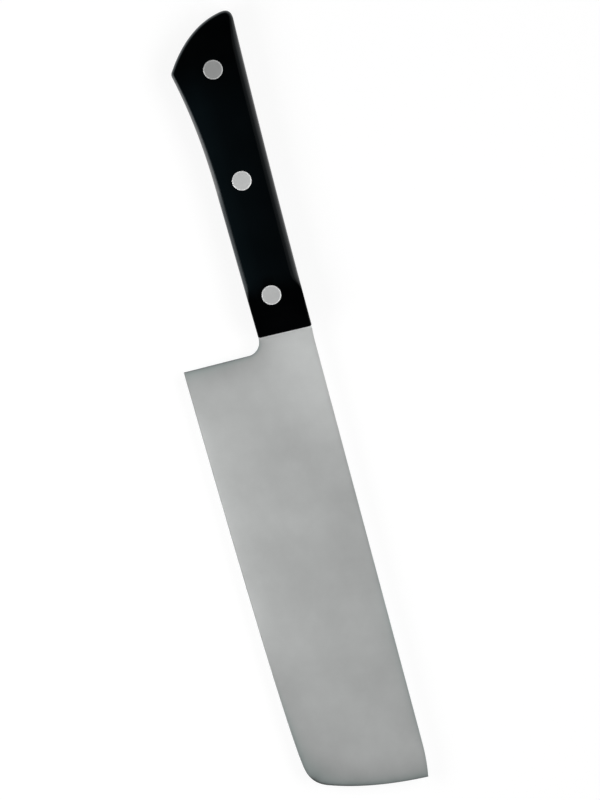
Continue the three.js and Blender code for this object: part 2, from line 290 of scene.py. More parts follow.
@dataclass(frozen=True)
class PolishedSteel:
    """Stainless steel, polished with a belt or wheel in one direction.

    Attributes:
        name: Name of the material.
        tone: Reflected colour.
        roughness: Mean roughness.
        grain: Axis of the polishing lines.
        pitch: Distance between lines in millimetres.
        line: Length of a line in millimetres.
        line_detail: Number of finer layers of lines.
        depth: Depth of the lines in millimetres.
        contrast: How much the lines change the tone.
        clouding: How much broad patches change the tone.
        cloud: Size of a patch in millimetres.
        cloud_detail: Number of finer layers of patches.
        cloud_gain: Strength of each finer layer.
        painted_light: How much a mark of 1 changes the tone, which paints light; a mark below 0 paints
            shade.
        shade_tint: What a painted-shade mark of -1 multiplies the colour by.
        tone_span: Largest change of the tone.
        coarse_step: Pitch of the coarser lines, in pitches.
        coarse_length: Length of the coarser lines, in lengths of a line.
        coarse_share: Their share of the relief.
        roughness_swing: How much the lines change the roughness.
    """

    name: str
    tone: Colour
    roughness: float
    grain: Grain
    pitch: float = 0.22
    line: float = 14.0
    line_detail: float = 3.0
    depth: float = 0.0012
    contrast: float = 0.07
    clouding: float = 0.42
    cloud: float = 26.0
    cloud_detail: float = 6.0
    cloud_gain: float = 0.58
    painted_light: float = 0.0
    shade_tint: Colour = (1.0, 1.0, 1.0)
    tone_span: float = 0.75
    coarse_step: float = 5.0
    coarse_length: float = 2.0
    coarse_share: float = 0.15
    roughness_swing: float = 0.10

    def material(self) -> bpy.types.Material:
        """Builds the material.

        Returns:
            The material.
        """
        graph, material = Graph.of_material(self.name)
        fine = graph.noise(self.grain.frequency(self.pitch, self.line), self.line_detail)
        coarse_pitch, coarse_line = self.pitch * self.coarse_step, self.line * self.coarse_length
        coarse = graph.noise(self.grain.frequency(coarse_pitch, coarse_line))
        cloud = graph.clouds(self.cloud, self.cloud_detail, self.cloud_gain)
        lines = fine * (1.0 - self.coarse_share) + coarse * self.coarse_share
        change = (lines - NOISE_MEAN) * self.contrast + (cloud - NOISE_MEAN) * self.clouding
        # The mark paints light on the tone where it is above 0 and shade where it is below 0; the painted
        # shade also takes the shade tint
        mark = graph.attribute(PAINTED_LIGHT_AND_WEAR)
        share = (change + mark * self.painted_light) * (EVEN_SHARE / self.tone_span) + EVEN_SHARE
        unshaded_tone, shaded_tone = (
            graph.tint(
                tuple(part * (1.0 - self.tone_span) for part in tone),
                tuple(part * (1.0 + self.tone_span) for part in tone),
                share,
            )
            for tone in (self.tone, tuple(part * shade_tint for part, shade_tint in zip(self.tone, self.shade_tint)))
        )
        roughness = self.roughness + (lines - NOISE_MEAN) * self.roughness_swing
        shader = graph.node(
            "ShaderNodeBsdfPrincipled",
            None,
            {
                "Base Color": graph.tint(unshaded_tone, shaded_tone, (-mark).eased(0.0, 1.0)),
                "Metallic": 1.0,
                "Roughness": roughness,
                "Normal": graph.relief(lines, self.depth),
            },
        )
        graph.surface(shader)
        return material


@dataclass(frozen=True)
class MouldedPlastic:
    """Black plastic with a fine moulded skin and sanding on its rounded edges, which carry a paler painted
    sheen, as does the outer face.
    """

    name: str = "black_moulded_plastic"
    tone: Colour = (0.0002, 0.0004, 0.0005)
    paler_tone: Colour = (0.0005, 0.0009, 0.0011)
    # Bluish painted sheen on the outer face
    face_sheen_tone: Colour = (0.015, 0.053, 0.072)
    # Rounded edges: sanding, with a paler painted highlight in their tone
    sanded_sheen_tone: Colour = (0.044, 0.046, 0.047)
    roughness: float = 0.16
    sanded_roughness: float = 0.36
    coat_roughness: float = 0.3
    coat_refraction: float = 1.75
    specular: float = 0.17
    refraction: float = 1.48
    skin_pitch: float = 0.32
    skin_depth: float = 0.0035
    sanding_pitch: float = 0.16
    sanding_length: float = 6.0
    sanding_depth: float = 0.004
    sanding_detail: float = 3.0
    sanding_swing: float = 0.14
    skin_swing: float = 0.06
    cloud: float = 18.0
    cloud_detail: float = 3.0
    cloud_low: float = 0.35
    cloud_high: float = 0.65
    cloud_swing: float = 0.10

    def material(self) -> bpy.types.Material:
        """Builds the material.

        Returns:
            The material.
        """
        graph, material = Graph.of_material(self.name)
        sheen_and_sanding = graph.attribute(PAINTED_LIGHT_AND_WEAR)
        skin = graph.clouds(self.skin_pitch)
        cloud = graph.clouds(self.cloud, self.cloud_detail)
        score = Grain.LENGTHWISE.frequency(self.sanding_pitch, self.sanding_length)
        scores = graph.noise(score, self.sanding_detail)
        moulded = graph.tint(self.tone, self.paler_tone, cloud.eased(self.cloud_low, self.cloud_high))
        moulded_roughness = self.roughness + (cloud - NOISE_MEAN) * self.cloud_swing
        moulded_roughness = moulded_roughness + (skin - NOISE_MEAN) * self.skin_swing
        sanded_roughness = self.sanded_roughness + (scores - NOISE_MEAN) * self.sanding_swing
        roughness = moulded_roughness + (sanded_roughness - moulded_roughness) * sheen_and_sanding
        height = skin * (1.0 - sheen_and_sanding) * self.skin_depth + scores * sheen_and_sanding * self.sanding_depth
        deepest = max(self.skin_depth, self.sanding_depth)
        # The mark turns the face to its painted sheen tone and the rounded edges to the paler tone of
        # sanding and painted highlight
        sheen_tone = graph.tint(self.face_sheen_tone, self.sanded_sheen_tone, sheen_and_sanding)
        shader = graph.node(
            "ShaderNodeBsdfPrincipled",
            None,
            {
                "Base Color": graph.tint(moulded, sheen_tone, sheen_and_sanding),
                "Roughness": roughness,
                "IOR": self.refraction,
                "Specular IOR Level": self.specular,
                "Coat Weight": sheen_and_sanding,
                "Coat Roughness": self.coat_roughness,
                "Coat IOR": self.coat_refraction,
                "Normal": graph.relief(height * (1.0 / deepest), deepest),
            },
        )
        graph.surface(shader)
        return material


@dataclass(frozen=True)
class PaleFloor:
    """Smooth white table top, clear from below.

    It glows to a little under white, and its shade adds the rest.
    """

    name: str = "pale_floor"
    tone: Colour = (0.88, 0.88, 0.88)
    paler_tone: Colour = (0.92, 0.92, 0.92)
    shade: Colour = (0.195, 0.195, 0.195)
    paler_shade: Colour = (0.205, 0.205, 0.205)
    glow: Colour = (1.0, 1.0, 1.0)
    glow_strength: float = 0.86
    cloud: float = 400.0

    def material(self) -> bpy.types.Material:
        """Builds the material.

        Returns:
            The material.
        """
        graph, material = Graph.of_material(self.name)
        cloud = graph.clouds(self.cloud)
        matte, shade = (
            graph.node("ShaderNodeBsdfDiffuse", None, {"Color": graph.tint(*tones, cloud)})
            for tones in ((self.tone, self.paler_tone), (self.shade, self.paler_shade))
        )
        glow = {"Color": (*self.glow, OPAQUE), "Strength": self.glow_strength}
        white = graph.node("ShaderNodeEmission", None, glow)
        shown = graph.node("ShaderNodeAddShader", None, {0: shade.outputs[0], 1: white.outputs[0]})
        path = graph.node("ShaderNodeLightPath")
        seen = graph.signal(path, "Is Camera Ray") | graph.signal(path, "Is Glossy Ray")
        seen = seen | graph.signal(path, "Is Transmission Ray")
        top = graph.blend(matte, shown, seen)
        below = graph.signal(graph.node("ShaderNodeNewGeometry"), "Backfacing")
        clear = graph.node("ShaderNodeBsdfTransparent")
        graph.surface(graph.blend(top, clear, below))
        return material


# Plane curves


def spot(x: float, y: float) -> np.ndarray:
    """Gives a point of the drawing."""
    return np.array((x, y), float)


def towards(start: np.ndarray, end: np.ndarray, distance: float) -> np.ndarray:
    """Gives the point that lies a distance from start towards end."""
    return start + (end - start) * (distance / np.linalg.norm(end - start))


def bend(start: np.ndarray, control: np.ndarray, end: np.ndarray, steps: int) -> np.ndarray:
    """Draws a smooth bend from start to end, inside the corner at the control point."""
    t = np.linspace(0.0, 1.0, steps + 1)[:, None]
    return (1.0 - t) ** 2 * start + 2.0 * (1.0 - t) * t * control + t**2 * end


def straight(start: np.ndarray, end: np.ndarray, steps: int) -> np.ndarray:
    """Draws a straight line in equal steps."""
    t = np.linspace(0.0, 1.0, steps + 1)[:, None]
    return start + (end - start) * t


def chain(*stretches: np.ndarray) -> np.ndarray:
    """Joins stretches that meet end to end, without the repeated points."""
    return np.vstack([stretches[0]] + [stretch[1:] for stretch in stretches[1:]])


def run_lengths(line: np.ndarray) -> np.ndarray:
    """Gives the running length at each point of a line."""
    steps = np.linalg.norm(np.diff(line, axis=0), axis=1)
    return np.concatenate(([0.0], np.cumsum(steps)))


def along(line: np.ndarray, shares: np.ndarray) -> np.ndarray:
    """Places points on a line.

    Args:
        line: The line's points.
        shares: Shares of its length, from 0 to 1.

    Returns:
        One point to each share.
    """
    lengths = run_lengths(line)
    places = np.asarray(shares) * lengths[-1]
    return np.column_stack([np.interp(places, lengths, line[:, axis]) for axis in range(2)])


def stations(
    length: float, first: float, last: float, widest: float, growth: float = 1.4, end_share: float = 0.45
) -> np.ndarray:
    """Divides a length in steps that are small at both ends.

    Args:
        length: The length.
        first: The first step.
        last: The last step.
        widest: The widest step in the middle.
        growth: How much each step grows on the one before it.
        end_share: Share of the length that the growing steps at one end may take.

    Returns:
        Places from 0 to the length.
    """
    ends: list[list[float]] = []
    for step in (first, last):
        places = [0.0]
        while step < widest and places[-1] + step < length * end_share:
            places.append(places[-1] + step)
            step *= growth
        ends.append(places)
    low, high = ends[0], [length - place for place in reversed(ends[1])]
    count = max(int(math.ceil((high[0] - low[-1]) / widest)), 1)
    middle = np.linspace(low[-1], high[0], count + 1)[1:-1]
    return np.concatenate((low, middle, high))


def distance_to(places: np.ndarray, line: np.ndarray) -> np.ndarray:
    """Measures how far places lie from a line.

    Args:
        places: Points, one to a row.
        line: The line's points.

    Returns:
        The distance of each place to its nearest point of the line.
    """
    start, step = line[:-1], np.diff(line, axis=0)
    size = np.maximum((step**2).sum(axis=1), LEAST_SQUARE)
    best = np.full(len(places), np.inf)
    for origin, direction, square in zip(start, step, size):
        share = np.clip(((places - origin) @ direction) / square, 0.0, 1.0)
        nearest = origin + share[:, None] * direction
        best = np.minimum(best, np.linalg.norm(places - nearest, axis=1))
    return best


def soft_step(value: np.ndarray, low: float, high: float) -> np.ndarray:
    """Maps low to 0 and high to 1 with a soft step between them."""
    share = np.clip((value - low) / (high - low), 0.0, 1.0)
    return share * share * (3.0 - 2.0 * share)


def fading(distance: np.ndarray, reach: float) -> np.ndarray:
    """Falls from 1 at no distance, to about a third at the reach."""
    return np.exp(-distance / reach)


def round_drop(distance: np.ndarray, radius: np.ndarray) -> np.ndarray:
    """Gives how far a rounded edge lies below its face, at a distance in from the side."""
    inset = np.clip(1.0 - distance / radius, 0.0, 1.0)
    return radius * (1.0 - np.sqrt(1.0 - inset**2))


def net_between(
    top: np.ndarray, bottom: np.ndarray, left: np.ndarray, right: np.ndarray, u: np.ndarray, v: np.ndarray
) -> np.ndarray:
    """Spreads a net of points between four border lines.

    Args:
        top: Border at v = 0, one point to each u.
        bottom: Border at v = 1.
        left: Border at u = 0, one point to each v.
        right: Border at u = 1.
        u: Shares of the way from left to right.
        v: Shares of the way from top to bottom.

    Returns:
        Points by row and column.
    """
    across, down = u[None, :, None], v[:, None, None]
    lines = (1.0 - down) * top[None] + down * bottom[None]
    lines = lines + (1.0 - across) * left[:, None] + across * right[:, None]
    corners = (1.0 - across) * (1.0 - down) * top[0] + across * (1.0 - down) * top[-1]
    corners = corners + (1.0 - across) * down * bottom[0] + across * down * bottom[-1]
    return lines - corners


def inside(places: np.ndarray, loop: np.ndarray) -> np.ndarray:
    """Tells which places lie inside a closed loop.

    Args:
        places: Points, one to a row.
        loop: Corners of the loop.

    Returns:
        One truth value to each place.
    """
    found = np.zeros(len(places), bool)
    for start, end in zip(loop, np.roll(loop, -1, axis=0)):
        crosses = (start[1] > places[:, 1]) != (end[1] > places[:, 1])
        if start[1] == end[1]:
            continue
        reach = start[0] + (places[:, 1] - start[1]) * (end[0] - start[0]) / (end[1] - start[1])
        found ^= crosses & (places[:, 0] < reach)
    return found


# Meshes


class Skin:
    """Points and faces of one closed piece while it is drawn, in millimetres."""

    def __init__(self) -> None:
        """Starts with nothing drawn."""
        self.points: list[tuple[float, float, float]] = []
        self.marks: list[float] = []
        self.faces: list[tuple[int, ...]] = []
        self.finishes: list[int] = []

    def add_points(self, places: np.ndarray, mark: Union[float, np.ndarray] = 0.0) -> np.ndarray:
        """Adds points.

        Args:
            places: Points in space, one to a row.
            mark: A number stored with each point.

        Returns:
            Their numbers.
        """
        start = len(self.points)
        self.points.extend(map(tuple, np.asarray(places, float)))
        self.marks.extend(np.broadcast_to(mark, len(places)).tolist())
        return np.arange(start, len(self.points))

    def add_face(self, corners: Sequence[int], finish: int = 0) -> None:
        """Adds one face with the number of its finish."""
        self.faces.append(tuple(int(corner) for corner in corners))
        self.finishes.append(finish)

    def band(self, low: np.ndarray, high: np.ndarray, finish: int = 0) -> None:
        """Joins two closed rings of as many points.

        Args:
            low: Point numbers of one ring.
            high: Point numbers of the other.
            finish: Number of the finish.
        """
        for i in range(len(low)):
            j = (i + 1) % len(low)
            self.add_face((low[i], low[j], high[j], high[i]), finish)

    def bands(self, rings: Sequence[np.ndarray]) -> None:
        """Joins closed rings, each to the next one."""
        for low, high in zip(rings[:-1], rings[1:]):
            self.band(low, high)

    def piece(self, name: str, finishes: Sequence[bpy.types.Material], seat: "Seat") -> bpy.types.Object:
        """Makes the Blender object.

        Args:
            name: The piece's name.
            finishes: Its materials, in the order of the finish numbers.
            seat: Where the drawing's origin lies.

        Returns:
            The object.
        """
        mesh = bpy.data.meshes.new(name)
        mesh.from_pydata(seat.place(np.array(self.points)).tolist(), [], self.faces)
        for finish in finishes:
            mesh.materials.append(finish)
        mesh.polygons.foreach_set("material_index", self.finishes)
        marks = mesh.attributes.new(PAINTED_LIGHT_AND_WEAR, "FLOAT", "POINT")
        marks.data.foreach_set("value", self.marks)
        drawn = bmesh.new()
        drawn.from_mesh(mesh)
        bmesh.ops.recalc_face_normals(drawn, faces=drawn.faces)
        drawn.to_mesh(mesh)
        drawn.free()
        made = bpy.data.objects.new(name, mesh)
        bpy.context.scene.collection.objects.link(made)
        soften(made)
        return made


def soften(piece: bpy.types.Object) -> None:
    """Shades a piece smooth, apart from its sharp corners."""
    piece.data.shade_smooth()
    piece.data.set_sharp_from_angle(angle=SMOOTH_LIMIT)


def cut_away(piece: bpy.types.Object, cutters: Sequence[bpy.types.Object]) -> None:
    """Cuts closed shapes out of a piece and deletes them.

    Args:
        piece: What is cut.
        cutters: What it is cut with.
    """
    for cutter in cutters:
        step = piece.modifiers.new("cut", "BOOLEAN")
        step.operation = "DIFFERENCE"
        step.solver = "EXACT"
        step.object = cutter
    graph = bpy.context.evaluated_depsgraph_get()
    whole = piece.data
    piece_cut = bpy.data.meshes.new_from_object(piece.evaluated_get(graph))
    piece.modifiers.clear()
    piece.data = piece_cut
    piece_cut.name = whole.name
    bpy.data.meshes.remove(whole)
    for cutter in cutters:
        bpy.data.meshes.remove(cutter.data)
    soften(piece)


def circle(centre: np.ndarray, radius: float, level: float, steps: int) -> np.ndarray:
    """Gives a level ring of points, counter-clockwise from +x.

    Args:
        centre: Its centre in the drawing.
        radius: Its radius.
        level: Its height.
        steps: Number of points.

    Returns:
        The points in space.
    """
    turn = np.linspace(0.0, math.tau, steps, endpoint=False)
    x, y = centre[0] + radius * np.cos(turn), centre[1] + radius * np.sin(turn)
    return np.column_stack((x, y, np.full(steps, level)))


def turned(
    profile: Sequence[tuple[float, float]],
    centre: np.ndarray,
    steps: int,
    marks: Union[float, Sequence[float]] = 0.0,
) -> Skin:
    """Turns a profile about an upright axis.

    Args:
        profile: Radius and height pairs. The first and last lie on the axis.
        centre: Place of the axis.
        steps: Points to a turn.
        marks: Mark of each pair, or of all, which the finish reads as painted light and shade.

    Returns:
        The drawn piece.
    """
    skin = Skin()
    painted_light_and_wear = np.broadcast_to(marks, len(profile))
    foot = skin.add_points(np.array([(*centre, profile[0][1])]), painted_light_and_wear[0])[0]
    rings = [
        skin.add_points(circle(centre, *pair, steps), mark) for pair, mark in zip(profile[1:-1], painted_light_and_wear[1:-1])
    ]
    head = skin.add_points(np.array([(*centre, profile[-1][1])]), painted_light_and_wear[-1])[0]
    skin.bands(rings)
    for hub, ring in ((foot, rings[0]), (head, rings[-1])):
        for i, start in enumerate(ring):
            skin.add_face((hub, start, ring[(i + 1) % steps]))
    return skin


@dataclass(frozen=True)
class Seat:
    """Where the drawing's origin lies in the frame, in metres."""

    x: float
    y: float
    z: float

    def place(self, points: np.ndarray) -> np.ndarray:
        """Moves points in millimetres to their place in metres."""
        return points * MM + np.array((self.x, self.y, self.z))


# Sub-assemblies


@dataclass(frozen=True)
class HandleOutline:
    """Side view of the handle, which the tang and both scales share. Depths run down from the spine."""

    length: float = 120.0
    step: float = 0.35
    front_depth: float = 19.7
    front_rake: float = 0.6
    front_round: float = 0.8
    top_bend_distance: float = 57.0
    top_bend_height: float = 0.2
    crown_height: float = 1.7
    crown_round: float = 4.5
    butt_bulge_setback: float = 3.1
    butt_bulge_depth: float = 15.6
    beak_setback: float = 18.4
    beak_depth: float = 25.8
    beak_round: float = 1.0
    flare_reach: float = 21.7
    flare_depth: float = 21.0
    waist_reach: float = 46.7
    waist_depth: float = 20.7
    long_steps: int = 150
    butt_steps: int = 56
    flare_steps: int = 70
    corner_steps: int = 16

    def front_corners(self) -> tuple[np.ndarray, np.ndarray]:
        """Gives the top and bottom corners of the scales' front."""
        return spot(0.0, self.step), spot(-self.front_rake, -self.front_depth)

    def stretches(self, front_top: np.ndarray, front_bottom: np.ndarray) -> list[np.ndarray]:
        """Draws the outline from the front's top corner round the butt to its bottom corner.

        Args:
            front_top: Where the upper line starts.
            front_bottom: Where the belly line ends.

        Returns:
            Upper line, crown, butt, beak, flare and belly line.
        """
        top_bend = spot(-self.top_bend_distance, self.top_bend_height)
        crown = spot(-self.length, self.crown_height)
        bulge = spot(self.butt_bulge_setback - self.length, -self.butt_bulge_depth)
        beak = spot(self.beak_setback - self.length, -self.beak_depth)
        flare = spot(beak[0] + self.flare_reach, -self.flare_depth)
        waist = spot(beak[0] + self.waist_reach, -self.waist_depth)
        crown_start = towards(crown, top_bend, self.crown_round)
        crown_end = towards(crown, bulge, self.crown_round)
        beak_start = towards(beak, bulge, self.beak_round)
        beak_end = towards(beak, flare, self.beak_round)
        return [
            bend(front_top, top_bend, crown_start, self.long_steps),
            bend(crown_start, crown, crown_end, self.corner_steps),
            bend(crown_end, bulge, beak_start, self.butt_steps),
            bend(beak_start, beak, beak_end, self.corner_steps),
            bend(beak_end, flare, waist, self.flare_steps),
            straight(waist, front_bottom, self.flare_steps),
        ]


class BladeFinish(Enum):
    """Number of each finish on the blade's faces."""

    FACE = 0
    EDGE = 1
    BEVEL = 2


@dataclass
class Blade:
    """Blade and tang in one blank: a tall straight-spined blade with a convex roll to the edge."""

    outline: HandleOutline
    length: float = 170.0
    heel_height: float = 49.3
    heel_setback: float = 4.7
    heel_lean: float = 0.3
    choil_radius: float = 5.0
    belly_setback: float = 32.4
    belly_rise: float = 2.3
    toe_setback: float = 8.6
    toe_rise: float = 6.1
    toe_round: float = 6.2
    end_bulge_setback: float = 0.9
    tip_drop: float = 1.1
    tip_drop_length: float = 12.0
    spine_blend: float = 5.0
    spine_thickness: float = 2.0
    shoulder_thickness: float = 0.8
    behind_edge_thickness: float = 0.16
    apex_thickness: float = 0.04
    tip_thickness: float = 0.24
    roll_width: float = 9.0
    back_roll: float = 0.22
    grind_run_out: float = 14.0
    bevel_width: float = 0.35
    spine_break: float = 0.1
    tang_break: float = 0.15
    break_change: float = 3.0
    break_share: float = 0.6
    # Painted light and shade on the blade's tone, which the painted-light mark below works out
    painted_light_distance: float = 8.0
    painted_light_reach: float = 28.0
    back_shade_width: float = 14.0
    back_shade_share: float = 0.7
    toe_shade_reach: float = 4.5
    toe_shade_share: float = 0.8
    toe_shade_start: float = 95.0
    toe_shade_full: float = 150.0
    toe_light_share: float = 0.15
    toe_line_reach: float = 0.5
    toe_line_share: float = 0.95
    toe_line_start: float = 12.0
    toe_line_full: float = 32.0
    spine_shade_reach: float = 6.0
    spine_shade_share: float = 0.4
    spine_shade_start: float = 80.0
    spine_shade_full: float = 118.0
    spine_shade_fade: float = 150.0
    spine_shade_end: float = 168.0
    spine_rim_share: float = 0.45
    rim_shade_reach: float = 0.6
    rim_shade_share: float = 1.3
    seat_highlight_reach: float = 0.6
    seat_highlight_share: float = 2.4
    edge_light_reach: float = 7.0
    edge_light_share: float = 0.5
    edge_light_start: float = 6.0
    edge_light_full: float = 30.0
    finest_step: float = 0.08
    widest_step: float = 1.7
    curve_steps: int = 80
    choil_steps: int = 14
    blend_steps: int = 12
    spine_steps: int = 2
    fall_steps: int = 20
    hole_steps: int = 48
    # Satin face; its tone takes the blade's painted light and shade, with a slight tint in the painted
    # shade
    faces: PolishedSteel = PolishedSteel(
        "satin_blade_steel",
        (0.550, 0.562, 0.557),
        roughness=0.55,
        grain=Grain.CROSSWISE,
        painted_light=0.3,
        shade_tint=(0.93, 1.01, 1.0),
    )
    edges: PolishedSteel = PolishedSteel(
        "ground_spine_steel", (0.52, 0.528, 0.524), roughness=0.42, grain=Grain.LENGTHWISE
    )
    bevel: PolishedSteel = PolishedSteel(
        "honed_edge_steel", (0.38, 0.386, 0.384), roughness=0.5, grain=Grain.CROSSWISE
    )

    @property
    def half(self) -> float:
        """Half the blank's thickness."""
        return self.spine_thickness / 2.0

    @property
    def neck(self) -> float:
        """Station where the blade's patch meets the tang's."""
        return self.heel_setback - self.choil_radius

    def edge_lines(self) -> tuple[np.ndarray, np.ndarray]:
        """Draws the cutting edge and the blade's end.

        Returns:
            The edge from the heel to the middle of the toe, and the end from the tip to there.
        """
        heel = spot(self.heel_setback - self.heel_lean, -self.heel_height)
        belly = spot(self.length - self.belly_setback, self.belly_rise - self.heel_height)
        toe = spot(self.length - self.toe_setback, self.toe_rise - self.heel_height)
        tip = spot(self.length, -self.tip_drop)
        bulge = spot(self.length - self.end_bulge_setback, (toe[1] + tip[1]) / 2.0)
        toe_start = towards(toe, belly, self.toe_round)
        toe_end = towards(toe, bulge, self.toe_round)
        steps = self.curve_steps
        middle = bend(toe_start, toe, toe_end, HALVES)[1]
        edge = chain(
            bend(heel, belly, toe_start, steps),
            bend(toe_start, (toe_start + toe) / 2.0, middle, steps),
        )
        end = chain(bend(tip, bulge, toe_end, steps), bend(toe_end, (toe_end + toe) / 2.0, middle, steps))
        return edge, end

    def spine_line(self) -> np.ndarray:
        """Draws the spine: a short blend down from the handle, straight, then a slight fall.

        Returns:
            Its points from the neck to the tip.
        """
        fall = self.length - self.tip_drop_length
        neck, level = spot(self.neck, self.outline.step), spot(self.spine_blend, 0.0)
        falling, tip = spot(fall, 0.0), spot(self.length, -self.tip_drop)
        return chain(
            bend(neck, spot(self.spine_blend / 2.0, 0.0), level, self.blend_steps),
            straight(level, falling, self.spine_steps),
            bend(falling, spot(fall + self.tip_drop_length / 2.0, 0.0), tip, self.fall_steps),
        )

    def neck_line(self) -> np.ndarray:
        """Draws the line across the blank where the handle starts, crowded at both ends.

        Returns:
            Its points from the spine down.
        """
        height = self.outline.step + self.outline.front_depth
        places = stations(height, self.finest_step, self.finest_step, self.widest_step)
        return np.column_stack((np.full(len(places), self.neck), self.outline.step - places))

    def back_line(self) -> np.ndarray:
        """Draws the blade's back below the handle: the choil's curve, then straight to the heel.

        Returns:
            Its points from the neck to the heel.
        """
        depth, radius = self.outline.front_depth, self.choil_radius
        turn = np.linspace(QUARTER_TURN, 0.0, self.choil_steps + 1)
        x, y = self.neck + radius * np.cos(turn), -depth - radius + radius * np.sin(turn)
        choil = np.column_stack((x, y))
        heel = spot(self.heel_setback - self.heel_lean, -self.heel_height)
        length = np.linalg.norm(heel - choil[-1])
        run, last = length - self.bevel_width, self.bevel_width / 2.0
        places = stations(run, self.widest_step, last, self.widest_step)
        shares = np.append(places, length) / length
        return chain(choil, choil[-1] + (heel - choil[-1]) * shares[:, None])

    def tang_lines(self) -> tuple[np.ndarray, np.ndarray, np.ndarray]:
        """Draws the tang's upper line, butt and belly line.

        Returns:
            The upper line from the neck to the crown, the butt from crown to beak, the belly from the
            neck to the beak.
        """
        front_top = spot(self.neck, self.outline.step)
        front_bottom = spot(self.neck, -self.outline.front_depth)
        top, crown, butt, beak, flare, belly = self.outline.stretches(front_top, front_bottom)
        split = self.outline.corner_steps // 2
        upper = chain(top, crown[: split + 1])
        back = chain(crown[split:], butt, beak[: split + 1])
        lower = chain(beak[split:], flare, belly)[::-1]
        return upper, back, lower

    def ground(self, places: np.ndarray) -> np.ndarray:
        """Works out half the thickness of the ground blade.

        Args:
            places: Points on the blade.

        Returns:
            Half the thickness at each.
        """
        edge, end = self.edge_lines()
        depth = np.maximum(-places[:, 1], 0.0)
        taper = np.minimum(depth / self.heel_height, 1.0)
        side = (self.spine_thickness + (self.shoulder_thickness - self.spine_thickness) * taper) / 2.0
        low = np.minimum(depth / -edge[-1][1], 1.0)
        lip = (self.tip_thickness + (self.behind_edge_thickness - self.tip_thickness) * low) / 2.0
        distance = np.minimum(distance_to(places, edge), distance_to(places, end))
        inset = np.maximum(1.0 - distance / self.roll_width, 0.0)
        rolled = side - (side - lip) * inset**2
        back_inset = np.maximum(1.0 - distance_to(places, self.back_line()) / self.roll_width, 0.0)
        rolled = np.maximum(rolled - self.back_roll * back_inset**2, lip)
        ahead = np.maximum(places[:, 0] - max(self.neck, 0.0), 0.0)
        below = np.maximum(-self.outline.front_depth - places[:, 1], 0.0)
        share = soft_step(np.hypot(ahead, below), 0.0, self.grind_run_out)
        return self.half + (rolled - self.half) * share

    def eased(self, places: np.ndarray, half: np.ndarray) -> np.ndarray:
        """Takes the sharp corner off the spine, the back, the end and the tang.

        Args:
            places: Points on the blank.
            half: Half its thickness there.

        Returns:
            Half its thickness with the corners broken.
        """
        border = [self.spine_line(), self.back_line(), self.edge_lines()[1], *self.tang_lines()]
        distance = np.min([distance_to(places, line) for line in border], axis=0)
        share = soft_step(places[:, 0], self.neck, self.neck + self.break_change)
        radius = self.tang_break + (self.spine_break - self.tang_break) * share
        return half - round_drop(distance, np.minimum(radius, half * self.break_share))

    def painted_light(self, places: np.ndarray) -> np.ndarray:
        """Works out the painted light and shade on the blade's tone: a painted bright patch before the
        handle at the spine, painted shade at the borders.

        Args:
            places: Points on the blank.

        Returns:
            The mark at each: painted light above 0, painted shade below 0.
        """
        edge, end = self.edge_lines()
        to_back, to_end = distance_to(places, self.back_line()), distance_to(places, end)
        to_edge = distance_to(places, edge)
        to_spine = distance_to(places, self.spine_line())
        # Painted light: a bright patch round a point on the spine just before the handle
        away = np.linalg.norm(places - spot(self.painted_light_distance, 0.0), axis=1)
        bright = np.exp(-((away / self.painted_light_reach) ** 2))
        # Painted shade: darker near the blade's back below the handle
        back = self.back_shade_share * np.maximum(1.0 - to_back / self.back_shade_width, 0.0) ** 2
        # Painted shade: darker towards the toe along the edge and the end, a thin dark line on them lower
        # down, and darker along the spine further out
        near_toe = soft_step(places[:, 0], self.toe_shade_start, self.toe_shade_full)
        reach = self.toe_shade_reach
        toe = near_toe * self.toe_shade_share * (fading(to_edge, reach) + fading(to_end, reach))
        low = soft_step(-places[:, 1], self.toe_line_start, self.toe_line_full)
        line = fading(np.minimum(to_edge, to_end), self.toe_line_reach)
        toe += near_toe * low * self.toe_line_share * line
        far = soft_step(places[:, 0], self.spine_shade_start, self.spine_shade_full)
        far -= soft_step(places[:, 0], self.spine_shade_fade, self.spine_shade_end)
        toe += far * self.spine_shade_share * fading(to_spine, self.spine_shade_reach)
        # Painted light along the cutting edge from past the heel, and a little over the toe
        past_heel = soft_step(places[:, 0], self.edge_light_start, self.edge_light_full)
        honed = self.edge_light_share * fading(to_edge, self.edge_light_reach)
        bright += (past_heel - near_toe) * honed + self.toe_light_share * near_toe
        # Painted highlight: a thin bright line on the blade along the handle's front
        to_seat = distance_to(places, np.vstack(self.outline.front_corners()))
        bright += self.seat_highlight_share * fading(to_seat, self.seat_highlight_reach)
        # Painted shade: a thin dark line along the back and the end, and a weaker one along the spine
        rim = fading(np.minimum(to_back, to_end), self.rim_shade_reach)
        rim = np.maximum(rim, self.spine_rim_share * fading(to_spine, self.rim_shade_reach))
        return bright - back - toe - self.rim_shade_share * rim

    def patches(self) -> tuple[np.ndarray, np.ndarray]:
        """Spreads the nets of points over the blade and over the tang.

        Returns:
            Points of the blade and of the tang, each by row and column.
        """
        edge, end = self.edge_lines()
        spine, neck = self.spine_line(), self.neck_line()
        back = chain(neck, self.back_line())
        length = run_lengths(spine)[-1]
        u = stations(length, self.finest_step, self.finest_step, self.widest_step) / length
        v = run_lengths(back) / run_lengths(back)[-1]
        blade = net_between(along(spine, u), along(edge, u), back, along(end, v), u, v)
        upper, butt, lower = self.tang_lines()
        length = run_lengths(upper)[-1]
        u = stations(length, self.widest_step, self.finest_step, self.widest_step) / length
        v = run_lengths(neck) / run_lengths(neck)[-1]
        tang = net_between(along(upper, u), along(lower, u), neck, along(butt, v), u, v)
        return blade, tang

